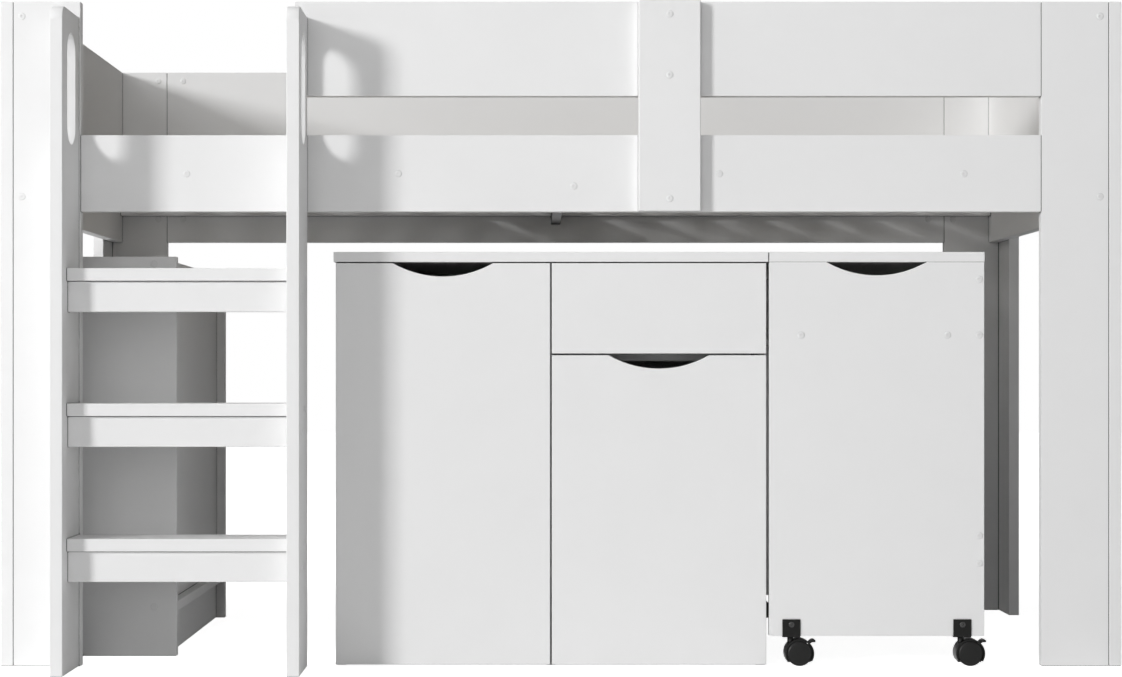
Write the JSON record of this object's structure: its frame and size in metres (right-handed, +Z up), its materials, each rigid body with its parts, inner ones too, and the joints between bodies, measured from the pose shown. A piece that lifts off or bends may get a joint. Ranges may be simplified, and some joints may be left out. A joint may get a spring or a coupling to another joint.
{
  "type": "cabin bed",
  "caption": "Mid-height bed with a side ladder, and under it a bookcase, a cabinet with doors and a drawer, and a pull-out desk on castors.",
  "frame": {"origin": "on the floor, at the middle of the whole outline", "axes": "+X runs along the bed from the ladder end to the right, +Y from the front to the back, +Z up"},
  "size_m": [2.0068, 1.103, 1.19],
  "materials": {
    "white_board": "white faced board, satin",
    "pine": "planed softwood",
    "zinc_steel": "zinc plated",
    "black_steel": "black powder coat",
    "black_nylon": "moulded, slight gloss",
    "white_screws": "white enamel"
  },
  "bodies": {
    "bed": {"post_front_left": "white_board", "post_front_right": "white_board", "post_back_left": "white_board", "post_back_right": "white_board", "front_side_rail": "white_board", "upper_guard_rail": "white_board", "guard_brace": "white_board", "back_panel": "white_board", "left_end_panel": "white_board", "right_end_panel": "white_board", "ladder_left_side": "white_board", "ladder_right_side": "white_board", "ladder_step_1": "white_board", "ladder_step_2": "white_board", "ladder_step_3": "white_board", "bookcase_front_side": "white_board", "bookcase_rear_side": "white_board", "bookcase_shelves": "white_board", "bookcase_back": "white_board", "bookcase_plinth": "white_board", "cabinet_left_side": "white_board", "cabinet_partition": "white_board", "cabinet_right_side": "white_board", "cabinet_top": "white_board", "cabinet_shelves": "white_board", "cabinet_back": "white_board", "cabinet_drawer_rail": "white_board", "slat_ledges": "white_board", "bed_slats": "pine", "joint_plates": "zinc_steel", "drawer_channels": "zinc_steel", "hinge_arms": "zinc_steel", "centre_bar": "black_steel", "frame_screws": "white_screws"},
    "left_door": {"left_door": "white_board", "left_door_cups": "zinc_steel"},
    "middle_door": {"middle_door": "white_board", "middle_door_cups": "zinc_steel"},
    "drawer": {"drawer_front": "white_board", "drawer_walls": "white_board", "drawer_bottom": "white_board", "drawer_slides": "zinc_steel"},
    "desk": {"desk_top": "white_board", "desk_front_panel": "white_board", "desk_rear_panel": "white_board", "desk_shelf": "white_board", "desk_side_apron": "white_board", "desk_side_stretcher": "white_board", "desk_screws": "white_screws", "castor_brackets": "black_steel"},
    "castor_front_left": {"castor_housing_1": "black_nylon"},
    "wheels_front_left": {"castor_wheels_1": "black_nylon"},
    "castor_front_right": {"castor_housing_2": "black_nylon"},
    "wheels_front_right": {"castor_wheels_2": "black_nylon"},
    "castor_rear_left": {"castor_housing_3": "black_nylon"},
    "wheels_rear_left": {"castor_wheels_3": "black_nylon"},
    "castor_rear_right": {"castor_housing_4": "black_nylon"},
    "wheels_rear_right": {"castor_wheels_4": "black_nylon"},
    "brake_front_left": {"brake_lever_1": "black_nylon"},
    "brake_front_right": {"brake_lever_2": "black_nylon"}
  },
  "joints": [
    {"name": "left_door_hinge", "type": "hinge", "parent": "bed", "child": "left_door", "pos_m": [-0.4034, -0.4115, 0.36], "axis": [0, 0, -1], "range_deg": [0, 100]},
    {"name": "middle_door_hinge", "type": "hinge", "parent": "bed", "child": "middle_door", "pos_m": [-0.0164, -0.4115, 0.28], "axis": [0, 0, -1], "range_deg": [0, 90]},
    {"name": "drawer_slide", "type": "slide", "parent": "bed", "child": "drawer", "axis": [0, -1, 0], "range_m": [0, 0.3]},
    {"name": "desk_slide", "type": "slide", "parent": "bed", "child": "desk", "axis": [0, -1, 0], "range_m": [0, 0.6]},
    {"name": "castor_front_left_swivel", "type": "hinge", "parent": "desk", "child": "castor_front_left", "pos_m": [0.4125, -0.3955, 0.04], "axis": [0, 0, 1], "continuous": true},
    {"name": "wheels_front_left_roll", "type": "hinge", "parent": "castor_front_left", "child": "wheels_front_left", "pos_m": [0.4275, -0.3955, 0.0225], "axis": [0, 1, 0], "continuous": true},
    {"name": "castor_front_right_swivel", "type": "hinge", "parent": "desk", "child": "castor_front_right", "pos_m": [0.7185, -0.3955, 0.04], "axis": [0, 0, 1], "continuous": true},
    {"name": "wheels_front_right_roll", "type": "hinge", "parent": "castor_front_right", "child": "wheels_front_right", "pos_m": [0.7335, -0.3955, 0.0225], "axis": [0, 1, 0], "continuous": true},
    {"name": "castor_rear_left_swivel", "type": "hinge", "parent": "desk", "child": "castor_rear_left", "pos_m": [0.4125, 0.3225, 0.04], "axis": [0, 0, 1], "continuous": true},
    {"name": "wheels_rear_left_roll", "type": "hinge", "parent": "castor_rear_left", "child": "wheels_rear_left", "pos_m": [0.4275, 0.3225, 0.0225], "axis": [0, 1, 0], "continuous": true},
    {"name": "castor_rear_right_swivel", "type": "hinge", "parent": "desk", "child": "castor_rear_right", "pos_m": [0.7185, 0.3225, 0.04], "axis": [0, 0, 1], "continuous": true},
    {"name": "wheels_rear_right_roll", "type": "hinge", "parent": "castor_rear_right", "child": "wheels_rear_right", "pos_m": [0.7335, 0.3225, 0.0225], "axis": [0, 1, 0], "continuous": true},
    {"name": "brake_front_left_press", "type": "hinge", "parent": "castor_front_left", "child": "brake_front_left", "pos_m": [0.44497, -0.3955, 0.03997], "axis": [0, 1, 0], "range_deg": [0, 12]},
    {"name": "brake_front_right_press", "type": "hinge", "parent": "castor_front_right", "child": "brake_front_right", "pos_m": [0.75097, -0.3955, 0.03997], "axis": [0, 1, 0], "range_deg": [0, 12]}
  ]
}
